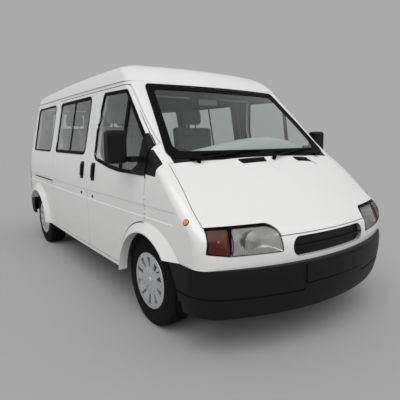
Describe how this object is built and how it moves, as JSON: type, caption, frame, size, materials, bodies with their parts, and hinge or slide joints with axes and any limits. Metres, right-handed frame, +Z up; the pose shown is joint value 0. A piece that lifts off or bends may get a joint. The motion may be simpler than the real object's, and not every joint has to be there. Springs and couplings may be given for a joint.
{
  "type": "minibus",
  "caption": "Short minibus with a sloping bonnet, hinged cab doors, a fixed side sliding door, twin rear doors, steered front wheels and rows of seats.",
  "frame": {"origin": "centre of the vehicle on the ground, midway between nose and tail", "axes": "+X forward, +Y to the vehicle's left, +Z up"},
  "size_m": [4.5456, 2.28, 1.9899],
  "materials": {
    "white_paint": "gloss",
    "black_plastic": "satin",
    "clear_glass": "clear",
    "lamp_glass": "clear",
    "amber_lens": "gloss",
    "red_lens": "gloss",
    "tyre_rubber": "matt",
    "silver_wheel": "satin",
    "chassis_steel": "satin",
    "bare_iron": "rough",
    "pipe_steel": "dull",
    "grey_trim": "matt",
    "seat_cloth": "woven"
  },
  "bodies": {
    "body": {"windscreen_frame": "white_paint", "front_panel": "white_paint", "wings": "white_paint", "sliding_door": "white_paint", "side_panel_right": "white_paint", "side_panel_left": "white_paint", "roof_panel": "white_paint", "black_trim": "black_plastic", "headlamps": "lamp_glass", "indicators": "amber_lens", "tail_lamps": "red_lens", "fixed_glass": "clear_glass", "bumpers": "black_plastic", "floor_pan": "grey_trim", "wheel_housings": "chassis_steel", "chassis_rails": "chassis_steel", "front_subframe": "chassis_steel", "rear_axle": "bare_iron", "engine_block": "bare_iron", "exhaust": "pipe_steel", "fuel_tank": "chassis_steel", "dashboard": "grey_trim", "seats": "seat_cloth"},
    "bonnet": {"bonnet": "white_paint"},
    "steering_wheel": {"steering_wheel": "black_plastic"},
    "front_door_right": {"front_door_right": "white_paint", "front_door_glass_right": "clear_glass", "door_fittings_right": "black_plastic"},
    "rear_door_right": {"rear_door_right": "white_paint", "rear_door_glass_right": "clear_glass"},
    "knuckle_right": {"knuckle_right": "bare_iron"},
    "wheel_front_right": {"tyre_front_right": "tyre_rubber", "rim_front_right": "silver_wheel"},
    "wheel_rear_right": {"tyre_rear_right": "tyre_rubber", "rim_rear_right": "silver_wheel"},
    "front_door_left": {"front_door_left": "white_paint", "front_door_glass_left": "clear_glass", "door_fittings_left": "black_plastic"},
    "rear_door_left": {"rear_door_left": "white_paint", "rear_door_glass_left": "clear_glass"},
    "knuckle_left": {"knuckle_left": "bare_iron"},
    "wheel_front_left": {"tyre_front_left": "tyre_rubber", "rim_front_left": "silver_wheel"},
    "wheel_rear_left": {"tyre_rear_left": "tyre_rubber", "rim_rear_left": "silver_wheel"}
  },
  "joints": [
    {"name": "front_door_right_hinge", "type": "hinge", "parent": "body", "child": "front_door_right", "pos_m": [1.3855, -0.957, 0.86], "axis": [0, 0, 1], "range_deg": [0, 65]},
    {"name": "rear_door_right_hinge", "type": "hinge", "parent": "body", "child": "rear_door_right", "pos_m": [-2.2035, -0.665, 0.9], "axis": [0, 0, 1], "range_deg": [0, 95]},
    {"name": "front_door_left_hinge", "type": "hinge", "parent": "body", "child": "front_door_left", "pos_m": [1.3855, 0.957, 0.86], "axis": [0, 0, -1], "range_deg": [0, 65]},
    {"name": "rear_door_left_hinge", "type": "hinge", "parent": "body", "child": "rear_door_left", "pos_m": [-2.2035, 0.665, 0.9], "axis": [0, 0, -1], "range_deg": [0, 95]},
    {"name": "bonnet_hinge", "type": "hinge", "parent": "body", "child": "bonnet", "pos_m": [1.5525, 0, 1.187], "axis": [0, -1, 0], "range_deg": [0, 50]},
    {"name": "steer_right", "type": "hinge", "parent": "body", "child": "knuckle_right", "pos_m": [1.3425, -0.8, 0.327], "axis": [0, 0, 1], "range_deg": [-35, 35]},
    {"name": "wheel_front_right_spin", "type": "hinge", "parent": "knuckle_right", "child": "wheel_front_right", "pos_m": [1.3425, -0.806, 0.327], "axis": [0, 1, 0], "continuous": true},
    {"name": "wheel_rear_right_spin", "type": "hinge", "parent": "body", "child": "wheel_rear_right", "pos_m": [-1.4725, -0.806, 0.327], "axis": [0, 1, 0], "continuous": true},
    {"name": "steer_left", "type": "hinge", "parent": "body", "child": "knuckle_left", "pos_m": [1.3425, 0.8, 0.327], "axis": [0, 0, 1], "range_deg": [-35, 35]},
    {"name": "wheel_front_left_spin", "type": "hinge", "parent": "knuckle_left", "child": "wheel_front_left", "pos_m": [1.3425, 0.806, 0.327], "axis": [0, 1, 0], "continuous": true},
    {"name": "wheel_rear_left_spin", "type": "hinge", "parent": "body", "child": "wheel_rear_left", "pos_m": [-1.4725, 0.806, 0.327], "axis": [0, 1, 0], "continuous": true},
    {"name": "steering_wheel_turn", "type": "hinge", "parent": "body", "child": "steering_wheel", "pos_m": [0.7249, 0.375, 1.0032], "axis": [-0.8, 0, 0.6], "range_deg": [-560, 560]}
  ],
  "couplings": [
    {"joint": "steer_left", "follows": "steer_right", "ratio": 1},
    {"joint": "steering_wheel_turn", "follows": "steer_right", "ratio": 16}
  ]
}
